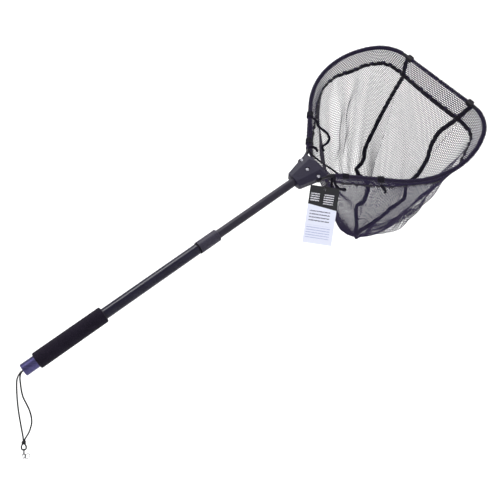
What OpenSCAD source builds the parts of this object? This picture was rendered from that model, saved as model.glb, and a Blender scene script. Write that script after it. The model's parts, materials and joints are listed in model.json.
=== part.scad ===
// Folding landing net with a two-section telescopic handle, a triangular hoop of two folding
// arms and a taut front cord, a deep hexagonal-mesh bag, a hang tag and a wrist lanyard.
// The net is stored as it hangs when it is held up by its grip: the handle rises towards the
// head and the head is rolled, so that the bag, the tag and the lanyard hang along -Z.
// Every rigid piece is drawn in the net's own frame, with +X along the handle towards the
// head, the hoop in the XY plane and the bag below it, and posed() then turns it.

/* [Pose] */
// How steeply the handle rises towards the head, in degrees
handle_rise = 34; // [25:1:40]
// How far the head is rolled about the handle, in degrees
head_roll = 56; // [45:1:65]

/* [Handle] */
// Length of the foam grip
grip_len = 143; // [130:1:155]
// Outer diameter of the foam grip
grip_d = 32.4; // [30:0.2:36]
// Length of the butt cap that shows behind the grip
cap_len = 27; // [24:1:32]
// Outer diameter of the butt cap
cap_d = 24; // [23.4:0.2:26]
// Outer diameter of the lower tube
lower_d = 22; // [21.6:0.1:22.4]
// Wall of the lower tube
lower_wall = 1.2; // [1:0.1:1.3]
// Outer diameter of the upper tube
upper_d = 18; // [17.4:0.1:18.4]
// Wall of the upper tube
upper_wall = 1.1; // [0.9:0.1:1.4]
// Distance from the grip's centre to the lower end of the lock collar
collar_x = 291; // [280:1:300]
// Length of the lock collar
collar_len = 46; // [44:1:50]
// Outer diameter of the lock collar
collar_d = 25.2; // [25:0.1:27]

/* [Yoke] */
// Distance from the grip's centre to the yoke's middle rivet
rivet_x = 570; // [565:1:580]
// Length of the yoke behind its middle rivet
yoke_back = 37; // [34:1:40]
// Half the yoke's width at the handle end
yoke_back_w = 19.5; // [18:0.5:21]
// Half the yoke's width at the net end
yoke_front_w = 34.5; // [34:0.5:36]
// Half the yoke's thickness at its edges
yoke_edge_h = 6.6; // [6.4:0.1:7.5]
// Half the yoke's thickness along its middle
yoke_mid_h = 12; // [11.5:0.5:13]

/* [Hoop] */
// Outer diameter of the hoop's tube
arm_d = 7; // [6.6:0.1:7.2]
// Distance of the arm pivots ahead of the middle rivet
pivot_x = 8; // [7:0.5:9]
// Distance of the arm pivots from the middle line
pivot_y = 26; // [25:0.5:27]
// Height that the right arm gains and the left arm loses at its tip, so that the two can cross
arm_lift = 5; // [5:0.1:5.6]
// Length of the straight part of each arm
arm_straight = 120; // [112:1:124]
// Radius of the long side bend
side_r = 190; // [184:1:196]
// Radius of the front corner bend
corner_r = 78; // [74:1:80]

/* [Net] */
// Depth of the bag below the hoop
bag_depth = 345; // [320:5:360]
// Thickness of the bag's wall, which stands for the mesh
bag_wall = 1.2; // [1:0.1:2]
// Share of the way down the bag where the skirt ends and the ring tape is sewn
skirt_share = 0.09; // [0.08:0.01:0.12]
// Width of the binding tapes
tape_w = 9; // [7:0.5:11]

/* [Tag] */
// Width of the hang tag
tag_w = 60; // [50:1:62]
// Height of the hang tag
tag_h = 118; // [100:1:120]
// Thickness of the hang tag's card
tag_t = 0.8; // [0.6:0.1:1]

/* [Lanyard] */
// Diameter of the lanyard cord
cord_d = 2; // [1.5:0.1:2]
// Diameter of the knot
knot_d = 7; // [6.5:0.5:8]

/* [Hidden] */
$fn = 48;
eps = 0.01;

// Clearances
slip = 0.05;            // between pieces fixed to each other
run = 0.1;              // radial, in running fits
swing_gap = 0.4;        // between the swinging arms and the yoke

// Stations along the handle
grip_x = grip_len / 2;
butt_x = -grip_x - cap_len;
collet_len = 18;
lower_end_x = collar_x + 20;
upper_start_x = 198;
upper_end_x = rivet_x + 8;
collar_lip = 5;
seal_len = 3;
cap_spigot = 18;
cap_mouth_d = 7;
cap_pocket_d = 12;
lower_bore = lower_d - 2 * lower_wall;

// Yoke
plateau_front_w = 17;
plateau_back_w = 8;
plateau_t = 1;
front_bulge_r = 91;
front_x = 31.5;
boss_w = 11.5;
arm_pocket_y = 16.5;
arm_pocket_x = -1;
wall = 2.5;
centre_rivet_r = 2.5;
pivot_r = 2.5;
rivet_head_r = 3.5;
rivet_head_h = 1.8;
recess_r = 5.2;
pivot_floor = 8;
eye_r = 8;
eye_t = 6;

// Hoop path: from the pivot a root bar, a bend outwards, the straight, the side and the corner
root_angle = 24;
root_len = 24;
bend_r = 40;
side_angle = 46;
side_turn = 75;
corner_turn = 61;
bend_turn = side_angle - root_angle;
tube_start = 14;
arm_wall = 0.8;
lap = 0.5;
hair = 0.04;
tip_len = 14;
tip_w = 12;
tip_h = 9;
tip_floor = 3.4;
front_d = 4.4;
tie_d = 9.8;
tie_len = 12;
tie_places = [12, 84];
arm_reach = 390;
arm_tilt = atan(arm_lift / arm_reach);

// Bag
rim_steps = 20;
bag_steps = 14;
rim_drop = 11;
rim_start = 34;
net_x = 225;
net_shift = [-30, -24];
bag_sides = 0.7;
bag_waist = 0.15;
tape_gap = 0.4;
tape_t = 1.2;

// Lanyard and tag
face_turn = -20;
eye_ring_r = 2.6;
eye_wire_r = 0.7;
hook_r = 3.4;
hook_wire_r = 1;
hook_start = -131;
hook_sweep = 265;
gate_start = 142.5;
gate_sweep = 65;
gate_wire_r = 0.7;
barrel_h = 3;
string_r = 0.6;
tag_lean = 8.5;
tag_hole_r = 2.5;
tag_hole_drop = 6.7;
tag_hole = [34.3, -22, -38.2];
string_route = [
  [49.6, -4.2, -2.2], [49.6, -8, -3.6], [49, -9.4, -7.5], [48, -9.6, -11.5], [42.5, -17, -21],
  [38, -23.4, -29], [34.8, -23.9, -34.6], [34.3, -22, -37.3], [34.6, -20.2, -35.2],
  [36, -17, -30], [41, -10, -21], [47.5, -1.5, -12], [49.4, 1, -7.5], [49.6, -0.4, -3.6],
  [49.6, -2.6, -2.3]
];

// Route of the lanyard's loop from the butt cap's mouth, round its eye and back
lanyard_route = [
  [8, 1.5, 5], [0, 1.5, 0], [-5, 2, -4], [-9, 3, -11], [-11, 4, -21], [-10.5, 4, -45],
  [-8, 3, -72], [-3.5, 1.5, -100], [-0.5, 1, -118], [0, 1.4, -128], [-3, 1, -134],
  [-2.5, 0.5, -139], [1, 0, -141], [4.5, -0.5, -139], [4.5, -1, -134], [1.5, -1.4, -128],
  [3, -1.6, -121], [10, -4, -108], [14, -5, -90], [10, -4, -70], [-1, -1, -45],
  [-5, -1, -21], [-5.5, -1.5, -10], [-3.5, -1.5, -3.5], [0, -1.5, 0], [8, -1.5, 5]
];
knot_place = [0.7, 0, -128];
eye_low = -141;
rings_per_leg = 3;

// Vector helpers
function turn_x(p, a) = [p[0], p[1] * cos(a) - p[2] * sin(a), p[1] * sin(a) + p[2] * cos(a)];
function raise_x(p, a) = [p[0] * cos(a) - p[2] * sin(a), p[1], p[0] * sin(a) + p[2] * cos(a)];
function to_world(p) = raise_x(turn_x(p, head_roll), handle_rise);
function unit(v) = v / norm(v);
function flip_y(p) = [p[0], -p[1]];
function reversed(list) = [for (i = [len(list) - 1:-1:0]) list[i]];

module posed() {
  rotate([0, -handle_rise, 0]) rotate([head_roll, 0, 0]) children();
}

// Children drawn along +Z are laid along +X, starting at x
module along_x(x) {
  translate([x, 0, 0]) rotate([0, 90, 0]) children();
}

module ring_x(x, length, outer_d, inner_d) {
  along_x(x) difference() {
    cylinder(d = outer_d, h = length);
    translate([0, 0, -eps]) cylinder(d = inner_d, h = length + 2 * eps);
  }
}

module at_rivet() {
  translate([rivet_x, 0, 0]) children();
}

// ---- Handle ----

module butt_cap() {
  color("slateblue") posed() difference() {
    union() {
      along_x(butt_x) cylinder(d1 = cap_d - 2, d2 = cap_d, h = 1);
      along_x(butt_x + 1) cylinder(d = cap_d, h = cap_len - 1);
      along_x(-grip_x) cylinder(d = lower_bore - 2 * slip, h = cap_spigot);
    }
    along_x(butt_x - eps) cylinder(d = cap_mouth_d, h = cap_len);
    along_x(butt_x + 10) cylinder(d = cap_pocket_d, h = cap_len + cap_spigot);
  }
}

module anchor_knot() {
  color("black") posed() translate([butt_x + 10 + cap_mouth_d / 2, 0, 0]) sphere(d = cap_mouth_d + 2);
}

module foam_grip() {
  round_r = 3;
  color("#1b1824") posed() along_x(-grip_x) rotate_extrude() {
    difference() {
      union() {
        translate([lower_d / 2 + slip, 0]) square([grip_d / 2 - lower_d / 2 - slip - round_r, grip_len]);
        translate([lower_d / 2 + slip, round_r])
          square([grip_d / 2 - lower_d / 2 - slip, grip_len - 2 * round_r]);
        for (z = [round_r, grip_len - round_r]) translate([grip_d / 2 - round_r, z]) circle(r = round_r);
      }
      translate([-grip_d, -eps]) square([grip_d + lower_d / 2 + slip, grip_len + 2 * eps]);
    }
  }
}

module lower_tube() {
  color("#221f2c") posed() ring_x(-grip_x, lower_end_x + grip_x, lower_d, lower_bore);
}

module lock_seal() {
  color("black") posed() ring_x(collar_x - seal_len - 0.3, seal_len, collar_d - 1, lower_d + 2 * slip);
}

// Split bush that the collar squeezes onto the upper tube
module collet() {
  slot_w = 1.5;
  color("dimgray") posed() difference() {
    ring_x(lower_end_x + 0.3, collet_len, lower_d - 0.4, upper_d + 2 * run);
    for (a = [0:60:120]) rotate([a, 0, 0])
      translate([lower_end_x + 4, -lower_d, -slot_w / 2]) cube([collet_len, 2 * lower_d, slot_w]);
  }
}

module lock_collar() {
  chamfer = 1.5;
  groove_w = 1.2;
  color("#3c3846") posed() difference() {
    union() {
      along_x(collar_x) cylinder(d = collar_d, h = collar_len - chamfer);
      along_x(collar_x + collar_len - chamfer)
        cylinder(d1 = collar_d, d2 = collar_d - 2 * chamfer, h = chamfer);
    }
    along_x(collar_x - eps) cylinder(d = lower_d + 2 * run, h = collar_len - collar_lip);
    along_x(collar_x + 1) cylinder(d = upper_d + 2 * run, h = collar_len);
    for (x = [4, collar_len - 7]) ring_x(collar_x + x, groove_w, collar_d + 1, collar_d - 0.8);
  }
}

module upper_tube() {
  color("#302d38") posed() difference() {
    ring_x(upper_start_x, upper_end_x - upper_start_x, upper_d, upper_d - 2 * upper_wall);
    translate([rivet_x, 0, -upper_d]) cylinder(r = centre_rivet_r + slip, h = 2 * upper_d);
  }
}

module guide_bush() {
  head = 6;
  color("black") posed() {
    ring_x(upper_start_x - head, head, lower_bore - 2 * run, upper_d - 6);
    ring_x(upper_start_x, 12, upper_d - 2 * upper_wall - 2 * slip, upper_d - 6);
  }
}

// ---- Yoke ----

// Plan of the yoke: straight back, flared sides and a front edge that bulges to the net
module yoke_plan() {
  half_angle = asin(yoke_front_w / front_bulge_r);
  front = [for (i = [-6:6]) [
    front_x - front_bulge_r + front_bulge_r * cos(half_angle * i / 6),
    front_bulge_r * sin(half_angle * i / 6)
  ]];
  polygon(concat(
    [[-yoke_back, yoke_back_w - 3], [-yoke_back, 3 - yoke_back_w], [3 - yoke_back, -yoke_back_w]],
                 front, [[3 - yoke_back, yoke_back_w]]));
}

module plateau_plan() {
  polygon([[-yoke_back + 1, plateau_back_w], [-yoke_back + 1, -plateau_back_w],
           [20, -plateau_front_w], [front_x - 4, 0], [20, plateau_front_w]]);
}

// One half of the yoke, from the middle plane up
module yoke_shell() {
  difference() {
    hull() {
      linear_extrude(yoke_edge_h) yoke_plan();
      translate([0, 0, yoke_mid_h - plateau_t]) linear_extrude(plateau_t) plateau_plan();
    }
    along_x(-yoke_back - 1) cylinder(d = upper_d + 2 * slip, h = yoke_back + 1 + upper_end_x - rivet_x + 0.5);
    for (side = [-1, 1]) {
      // Room for the arm's root, open to the front and the side
      translate([arm_pocket_x, side > 0 ? arm_pocket_y : -arm_pocket_y - 40, -eps])
        cube([60, 40, arm_d / 2 + swing_gap + 0.4]);
      // Hollow that lightens the rear of the shell
      translate([0, 0, -eps]) linear_extrude(yoke_edge_h - 2)
        polygon([[wall - yoke_back, side * (boss_w + 1)], [-4, side * (boss_w + 1)],
                 [-4, side * (yoke_back_w + 4)], [wall - yoke_back, side * (yoke_back_w - wall)]]);
      translate([pivot_x, side * pivot_y, -eps]) cylinder(r = pivot_r + slip, h = yoke_mid_h + 1);
      translate([pivot_x, side * pivot_y, pivot_floor]) cylinder(r = recess_r, h = yoke_mid_h);
    }
    // Pocket for the detent spring across the front
    translate([pivot_x + 5, -arm_pocket_y - 1, -eps]) cube([8, 2 * arm_pocket_y + 2, 1.2]);
    translate([0, 0, -eps]) cylinder(r = centre_rivet_r + slip, h = yoke_mid_h + 1);
    translate([0, 0, yoke_mid_h - 1.2]) cylinder(r = recess_r, h = yoke_mid_h);
  }
}

module yoke_top() {
  color("#3a3746") posed() at_rivet() yoke_shell();
}

module yoke_bottom() {
  color("#35323f") posed() at_rivet() mirror([0, 0, 1]) yoke_shell();
}

// Domed heads on both ends of a straight shank
module rivet(shank_r, seat) {
  cylinder(r = shank_r, h = 2 * seat, center = true);
  for (side = [0, 1]) mirror([0, 0, side]) translate([0, 0, seat]) {
    cylinder(r = rivet_head_r, h = rivet_head_h / 2);
    translate([0, 0, rivet_head_h / 2])
      cylinder(r1 = rivet_head_r, r2 = rivet_head_r - 1.2, h = rivet_head_h / 2);
  }
}

module centre_rivet() {
  color("silver") posed() at_rivet() rivet(centre_rivet_r, yoke_mid_h - 1.2);
}

module pivot_rivets() {
  color("silver") posed() at_rivet() for (side = [-1, 1])
    translate([pivot_x, side * pivot_y, 0]) rivet(pivot_r, pivot_floor);
}

// Leaf that presses on the two arm roots and holds them open
module detent_spring() {
  color("gray") posed() at_rivet()
    translate([pivot_x + 6, -arm_pocket_y, -0.5]) cube([6, 2 * arm_pocket_y, 1]);
}

// ---- Hoop ----

// Point at a distance along an arc that starts at p with a heading and turns one way
function arc_point(p, heading, r, turned) = let(s = r > 0 ? 1 : -1, c = p + r * [-sin(heading), cos(heading)])
  c + abs(r) * s * [sin(heading + s * turned), -cos(heading + s * turned)];

pivot = [pivot_x, pivot_y];
p_bend = pivot + root_len * [cos(root_angle), sin(root_angle)];
p_straight = arc_point(p_bend, root_angle, bend_r, bend_turn);
p_side = p_straight + arm_straight * [cos(side_angle), sin(side_angle)];
p_corner = arc_point(p_side, side_angle, -side_r, side_turn);
p_tip = arc_point(p_corner, side_angle - side_turn, -corner_r, corner_turn);

// The left arm's centreline, from where the bag starts at the yoke to the tip, in even steps
bend_len = bend_r * bend_turn * PI / 180;
side_len = side_r * side_turn * PI / 180;
corner_len = corner_r * corner_turn * PI / 180;
arm_len = root_len + bend_len + arm_straight + side_len + corner_len;

function arm_point(d) =
  d < root_len ? pivot + d * [cos(root_angle), sin(root_angle)]
  : d < root_len + bend_len ? arc_point(p_bend, root_angle, bend_r, (d - root_len) / bend_len * bend_turn)
  : d < root_len + bend_len + arm_straight
    ? p_straight + (d - root_len - bend_len) * [cos(side_angle), sin(side_angle)]
  : d < arm_len - corner_len
    ? arc_point(p_side, side_angle, -side_r, (d - root_len - bend_len - arm_straight) / side_len * side_turn)
  : arc_point(p_corner, side_angle - side_turn, -corner_r,
              (d - arm_len + corner_len) / corner_len * corner_turn);

// Bar bent round an arc; a positive radius turns to the left
module bent_bar(p, heading, r, turned, d) {
  translate([p[0], p[1], 0]) rotate([0, 0, heading])
    translate([0, r, 0]) rotate([0, 0, r > 0 ? -90 : 90 - turned])
      rotate_extrude(angle = turned, $fn = 180) translate([abs(r), 0]) circle(d = d, $fn = 32);
}

// Straight bar that starts a little before p and laps into what follows it
module straight_bar(p, heading, length, before, d) {
  translate([p[0], p[1], 0]) rotate([0, 0, heading]) rotate([0, 90, 0])
    translate([0, 0, -before]) cylinder(d = d, h = before + length + lap, $fn = 32);
}

// The arm's whole course at one diameter. Each bend is a hair thicker than what laps into it.
module arm_bar(d, longer) {
  start = pivot + tube_start * [cos(root_angle), sin(root_angle)];
  lap_angle = lap / corner_r * 180 / PI;
  straight_bar(start, root_angle, root_len - tube_start, longer, d);
  bent_bar(p_bend, root_angle, bend_r, bend_turn, d + hair);
  straight_bar(p_straight, side_angle, arm_straight, lap, d);
  bent_bar(p_side, side_angle, -side_r, side_turn, d + 2 * hair);
  bent_bar(arc_point(p_corner, side_angle - side_turn, -corner_r, -lap_angle),
           side_angle - side_turn + lap_angle, -corner_r, corner_turn + lap_angle, d + hair);
  if (longer > 0) straight_bar(p_tip, side_angle - side_turn - corner_turn, longer, lap, d);
}

// Drawn for the left side; the right side mirrors it, so the two cross at different heights
module hoop_side(side) {
  posed() at_rivet() multmatrix_side(side) children();
}

module multmatrix_side(side) {
  if (side > 0) children();
  else rotate([180, 0, 0]) children();
}

// Each arm leaves its pivot at a slight slope, the left one downwards
module sloped() {
  translate([pivot_x, 0, 0]) rotate([0, arm_tilt, 0]) translate([-pivot_x, 0, 0]) children();
}

module arm_tube() {
  sloped() difference() {
    arm_bar(arm_d, 0);
    arm_bar(arm_d - 2 * arm_wall, 1);
  }
}

module arm_root() {
  translate([pivot_x, pivot_y, 0]) difference() {
    union() {
      cylinder(r = eye_r, h = eye_t, center = true);
      rotate([0, 0, root_angle]) translate([0, -3, -eye_t / 2]) cube([tube_start - 0.3, 6, eye_t]);
    }
    cylinder(r = pivot_r + slip, h = eye_t + 1, center = true);
  }
  sloped() translate([pivot_x, pivot_y, 0]) rotate([0, 0, root_angle]) rotate([0, 90, 0])
    translate([0, 0, tube_start - 1]) cylinder(d = arm_d - 2 * arm_wall - 2 * slip, h = 9);
}

// Block that closes the tube and grips the front cord
module arm_tip() {
  sloped() translate([p_tip[0], p_tip[1], 0]) {
    difference() {
      translate([-tip_w / 2, -tip_len - slip, -tip_h / 2]) cube([tip_w, tip_len, tip_h]);
      rotate([90, 0, 0]) translate([0, 0, tip_floor]) cylinder(d = front_d + 1, h = tip_len);
    }
    translate([0, -1, 0]) rotate([-90, 0, 0]) cylinder(d = arm_d - 2 * arm_wall - 6 * slip, h = 4);
  }
}

module arm_ties() {
  sloped() for (d = tie_places) {
    p = p_straight + d * [cos(side_angle), sin(side_angle)];
    translate([p[0], p[1], 0]) rotate([0, 0, side_angle]) rotate([0, 90, 0]) difference() {
      cylinder(d = tie_d, h = tie_len);
      translate([0, 0, -eps]) cylinder(d = arm_d + 2 * slip, h = tie_len + 2 * eps);
    }
  }
}

module left_root() {
  color("gray") hoop_side(1) arm_root();
}

module right_root() {
  color("gray") hoop_side(-1) arm_root();
}

module left_arm() {
  color("#26222e") hoop_side(1) arm_tube();
}

module right_arm() {
  color("#26222e") hoop_side(-1) arm_tube();
}

module left_tip() {
  color("black") hoop_side(1) arm_tip();
}

module right_tip() {
  color("black") hoop_side(-1) arm_tip();
}

module left_ties() {
  color("black") hoop_side(1) arm_ties();
}

module right_ties() {
  color("black") hoop_side(-1) arm_ties();
}

// The taut cord between the two tips, which are at different heights
module front_cord() {
  cord_y = p_tip[1] - tip_floor - 0.8;
  cord_z = -arm_lift * (p_tip[0] - pivot_x) / arm_reach;
  length = 2 * norm([cord_y, cord_z]);
  color("black") posed() at_rivet() translate([p_tip[0], 0, 0])
    rotate([-90 + atan2(cord_z, cord_y), 0, 0]) cylinder(d = front_d, h = length, center = true);
}

// ---- Net ----

left_rim = [for (i = [0:rim_steps - 1]) arm_point(rim_start + (arm_len - rim_start) * i / (rim_steps - 1))];
rim = concat(left_rim, [for (p = reversed(left_rim)) flip_y(p)]);
rim_count = len(rim);

// Share of the rim's size, and the middle, of the bag's section at a share t of the way down
function bag_size(t) = pow(1 - t, bag_sides) * (1 - bag_waist * sin(180 * t));
function bag_middle(t) = [net_x + net_shift[0] * sin(90 * t), net_shift[1] * sin(90 * t),
                          -rim_drop - bag_depth * sin(90 * t)];

// Point of the bag above a point p of the rim, drawn in by an inset in millimetres
function bag_point(p, t, inset) = let(out = [p[0] - net_x, p[1]], d = norm(out) * bag_size(t),
                                      k = max(d - inset, 0) / max(norm(out), 1), c = bag_middle(t))
  [c[0] + k * out[0], c[1] + k * out[1], c[2]];

function bag_ring(t, inset) = [for (p = rim) bag_point(p, t, inset)];

// Side faces between rings a and b of n points each; reverse for an inner skin
function skin(a, b, n) = [for (i = [0:n - 1]) [a + i, b + i, b + (i + 1) % n, a + (i + 1) % n]];

// Wall between two shares of the depth. Where t1 is 1 the wall is closed by a floor.
module bag_wall_between(t0, t1, steps) {
  n = rim_count;
  closed = t1 >= 1;
  last = closed ? steps - 1 : steps;
  shares = [for (i = [0:last]) t0 + (t1 - t0) * i / steps];
  rings = last + 1;
  outer = [for (t = shares) each bag_ring(t, 0)];
  inner = [for (t = shares) each bag_ring(t, bag_wall)];
  low = bag_middle(1);
  points = concat(outer, inner, closed ? [low, low + [0, 0, bag_wall]] : []);
  base = rings * n;
  sides = [for (j = [0:last - 1]) each skin(j * n, (j + 1) * n, n)];
  inner_sides = [for (f = sides) [f[3] + base, f[2] + base, f[1] + base, f[0] + base]];
  top = [for (i = [0:n - 1]) [i, (i + 1) % n, base + (i + 1) % n, base + i]];
  floor_faces = [for (i = [0:n - 1]) [last * n + i, 2 * base, last * n + (i + 1) % n]];
  inner_floor = [for (i = [0:n - 1]) [base + last * n + (i + 1) % n, 2 * base + 1, base + last * n + i]];
  rim_below = [for (i = [0:n - 1])
    [last * n + (i + 1) % n, last * n + i, base + last * n + i, base + last * n + (i + 1) % n]];
  polyhedron(points = points, faces = concat(sides, inner_sides, top,
             closed ? concat(floor_faces, inner_floor) : rim_below), convexity = 6);
}

module net_skirt() {
  color("#5a5368") posed() at_rivet() bag_wall_between(0, skirt_share, 2);
}

module net_bag() {
  color("#8d8894") posed() at_rivet() bag_wall_between(skirt_share, 1, bag_steps);
}

// Closed strip with four corners per station, from lists of the four edges' points
module strip(edges, looped) {
  n = len(edges[0]);
  points = [for (e = edges) each e];
  last = looped ? n - 1 : n - 2;
  sides = [for (k = [0:3]) for (i = [0:last])
    [k * n + i, k * n + (i + 1) % n, ((k + 1) % 4) * n + (i + 1) % n, ((k + 1) % 4) * n + i]];
  ends = looped ? [] : [[0, n, 2 * n, 3 * n], [n - 1, 4 * n - 1, 3 * n - 1, 2 * n - 1]];
  polyhedron(points = points, faces = concat(sides, ends), convexity = 6);
}

tape_in = bag_wall + tape_gap;
tape_half = tape_w / 2 / bag_depth / 1.57;

module ring_tape() {
  color("black") posed() at_rivet() strip([
    bag_ring(skirt_share - tape_half, tape_in), bag_ring(skirt_share + tape_half, tape_in),
    bag_ring(skirt_share + tape_half, tape_in + tape_t), bag_ring(skirt_share - tape_half, tape_in + tape_t)
  ], true);
}

// Tape from the front corner of the rim down to the bottom of the bag
module cross_tape(side) {
  inset = tape_in + tape_t + tape_gap;
  corner = [p_tip[0], side * (p_tip[1] - tip_len - tape_w)];
  stations = [for (i = [0:11]) 0.01 + 0.9 * i / 11];
  edge = function(across, depth) [for (t = stations)
    bag_point(corner, t, depth) + [0, across * tape_w / 2, 0]];
  color("black") posed() at_rivet() strip([
    edge(-1, inset), edge(1, inset), edge(1, inset + tape_t), edge(-1, inset + tape_t)
  ], false);
}

module left_tape() {
  cross_tape(1);
}

module right_tape() {
  cross_tape(-1);
}

// ---- Hang tag ----

// Children are drawn from the middle rivet: +X to the right, -Y to the front, +Z up
module facing_front() {
  translate(to_world([rivet_x, 0, 0])) rotate([0, 0, face_turn]) children();
}

// String that goes round the right arm, down, through the tag's hole and back up
module tag_string() {
  color("black") facing_front() swept_tube(spline(string_route, rings_per_leg), string_r, 8, [1, 0.2, 0.1]);
}

module hang_tag() {
  color("white") facing_front() translate(tag_hole) rotate([0, tag_lean, 0]) difference() {
    translate([-tag_w / 2, -tag_t / 2, tag_hole_drop - tag_h]) cube([tag_w, tag_t, tag_h]);
    rotate([90, 0, 0]) cylinder(r = tag_hole_r, h = 2, center = true);
  }
}

// ---- Lanyard ----

mouth = to_world([butt_x, 0, 0]);

// Smooth curve through the route's points
function spline_point(p, i, u) = let(n = len(p), a = p[max(i - 1, 0)], b = p[i], c = p[min(i + 1, n - 1)],
                                     d = p[min(i + 2, n - 1)])
  0.5 * (2 * b + u * (c - a) + u * u * (2 * a - 5 * b + 4 * c - d) + u * u * u * (3 * b - a - 3 * c + d));
function spline(p, per_leg) = concat(
  [for (i = [0:len(p) - 2]) for (k = [0:per_leg - 1]) spline_point(p, i, k / per_leg)], [p[len(p) - 1]]);

module swept_tube(path, r, sides, across) {
  n = len(path);
  rings = [for (i = [0:n - 1]) let(
    t = unit(path[min(i + 1, n - 1)] - path[max(i - 1, 0)]), a = unit(cross(t, across)), b = cross(t, a))
    [for (k = [0:sides - 1]) path[i] + r * (cos(360 * k / sides) * a + sin(360 * k / sides) * b)]];
  faces = concat([for (i = [0:n - 2]) for (k = [0:sides - 1])
    [i * sides + k, i * sides + (k + 1) % sides, (i + 1) * sides + (k + 1) % sides, (i + 1) * sides + k]],
    [reversed([for (k = [0:sides - 1]) k])], [[for (k = [0:sides - 1]) (n - 1) * sides + k]]);
  polyhedron(points = [for (q = rings) each q], faces = faces, convexity = 8);
}

module lanyard_cord() {
  color("#28292b") translate(mouth)
    swept_tube(spline(lanyard_route, rings_per_leg), cord_d / 2, 8, [sin(-face_turn), cos(face_turn), 0]);
}

module lanyard_knot() {
  color("black") translate(mouth + knot_place) sphere(d = knot_d);
}

// Children are drawn below the lanyard's eye, facing the front
module at_clasp() {
  translate(mouth + [1, 0, eye_low]) rotate([0, 0, face_turn]) children();
}

eye_ring_z = cord_d / 2 + eye_wire_r + 0.15 - eye_ring_r;
barrel_z = eye_ring_z - eye_ring_r - barrel_h;

module clasp_eye() {
  color("silver") at_clasp() {
    translate([0, 0, eye_ring_z]) rotate([0, 90, 0])
      rotate_extrude() translate([eye_ring_r, 0]) circle(r = eye_wire_r, $fn = 16);
    translate([0, 0, barrel_z]) cylinder(d = 3, h = barrel_h);
  }
}

module clasp_hook() {
  color("silver") at_clasp() translate([0, 0, barrel_z - hook_r - 1.2]) {
    rotate([90, 0, 0]) rotate([0, 0, hook_start])
      rotate_extrude(angle = hook_sweep) translate([hook_r, 0]) circle(r = hook_wire_r, $fn = 20);
    translate([0, 0, hook_r]) cylinder(d = 2.6, h = 1.1);
  }
}

module clasp_gate() {
  color("silver") at_clasp() translate([0, 0, barrel_z - hook_r - 1.2]) rotate([90, 0, 0])
    rotate([0, 0, gate_start]) rotate_extrude(angle = gate_sweep)
      translate([hook_r, 0]) circle(r = gate_wire_r, $fn = 16);
}

module split_ring() {
  ring_r = 4.6;
  color("silver") at_clasp() translate([ring_r + 1.4, 0, barrel_z - hook_r - 1.2])
    rotate([45, 0, 0]) rotate_extrude() translate([ring_r, 0]) circle(r = 0.6, $fn = 16);
}

butt_cap();
anchor_knot();
foam_grip();
lower_tube();
lock_seal();
collet();
lock_collar();
upper_tube();
guide_bush();
yoke_top();
yoke_bottom();
centre_rivet();
pivot_rivets();
detent_spring();
left_root();
right_root();
left_arm();
right_arm();
left_tip();
right_tip();
left_ties();
right_ties();
front_cord();
net_skirt();
net_bag();
ring_tape();
left_tape();
right_tape();
tag_string();
hang_tag();
lanyard_cord();
lanyard_knot();
clasp_eye();
clasp_hook();
clasp_gate();
split_ring();
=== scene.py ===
"""Landing net: camera, studio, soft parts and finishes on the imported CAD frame."""

import json
import math

import bpy
import numpy as np
from mathutils import Matrix, Vector

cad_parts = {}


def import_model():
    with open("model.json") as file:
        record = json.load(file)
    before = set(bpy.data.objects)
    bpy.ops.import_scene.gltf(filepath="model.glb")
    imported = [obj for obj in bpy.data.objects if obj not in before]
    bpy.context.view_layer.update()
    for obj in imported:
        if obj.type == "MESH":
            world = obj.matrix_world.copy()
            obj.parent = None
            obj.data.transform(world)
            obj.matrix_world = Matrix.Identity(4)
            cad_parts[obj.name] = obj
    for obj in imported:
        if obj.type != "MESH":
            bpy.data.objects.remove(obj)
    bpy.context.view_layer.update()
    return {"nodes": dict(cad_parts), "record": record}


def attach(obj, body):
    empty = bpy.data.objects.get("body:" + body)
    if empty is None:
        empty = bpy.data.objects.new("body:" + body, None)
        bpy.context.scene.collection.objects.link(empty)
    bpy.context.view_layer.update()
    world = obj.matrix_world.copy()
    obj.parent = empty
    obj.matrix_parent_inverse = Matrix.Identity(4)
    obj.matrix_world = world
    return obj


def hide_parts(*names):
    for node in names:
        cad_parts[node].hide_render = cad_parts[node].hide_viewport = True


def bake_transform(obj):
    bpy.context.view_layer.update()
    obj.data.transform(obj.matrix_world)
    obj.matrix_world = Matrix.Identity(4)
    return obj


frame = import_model()

# ---------------------------------------------------------------- the net's own frame
joints = {j["name"]: j for j in frame["record"]["behaviour"]["joints"]}


def unit(v):
    return v / np.maximum(np.linalg.norm(v, axis=-1, keepdims=True), 1e-9)


EX = unit(np.array(joints["telescope"]["axis"], float))
EZ = np.array(joints["left_fold"]["axis"], float)
EZ = unit(EZ - EX * (EZ @ EX))
EY = np.cross(EZ, EX)
LEFT_PIVOT = np.array(joints["left_fold"]["pos_m"], float)
RIGHT_PIVOT = np.array(joints["right_fold"]["pos_m"], float)
PIVOT_X, PIVOT_Y = 0.008, 0.026
RIVET = (LEFT_PIVOT + RIGHT_PIVOT) / 2 - PIVOT_X * EX
AXES = np.stack([EX, EY, EZ])


def world(p):
    """Points in the net's frame (origin at the middle rivet, metres) in the row frame."""
    return RIVET + np.asarray(p, float) @ AXES


def local(p):
    """Points in the row frame in the net's frame."""
    return (np.asarray(p, float) - RIVET) @ AXES.T


TURN_DEG = -20  # the front that facing() takes, about the vertical
cos_turn, sin_turn = math.cos(math.radians(TURN_DEG)), math.sin(math.radians(TURN_DEG))
FRONT = np.array([[cos_turn, sin_turn, 0], [-sin_turn, cos_turn, 0], [0, 0, 1.0]])


def facing(p):
    """Points seen from the front, from the middle rivet: to the right, away, up, in metres."""
    return RIVET + np.asarray(p, float) @ FRONT


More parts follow.
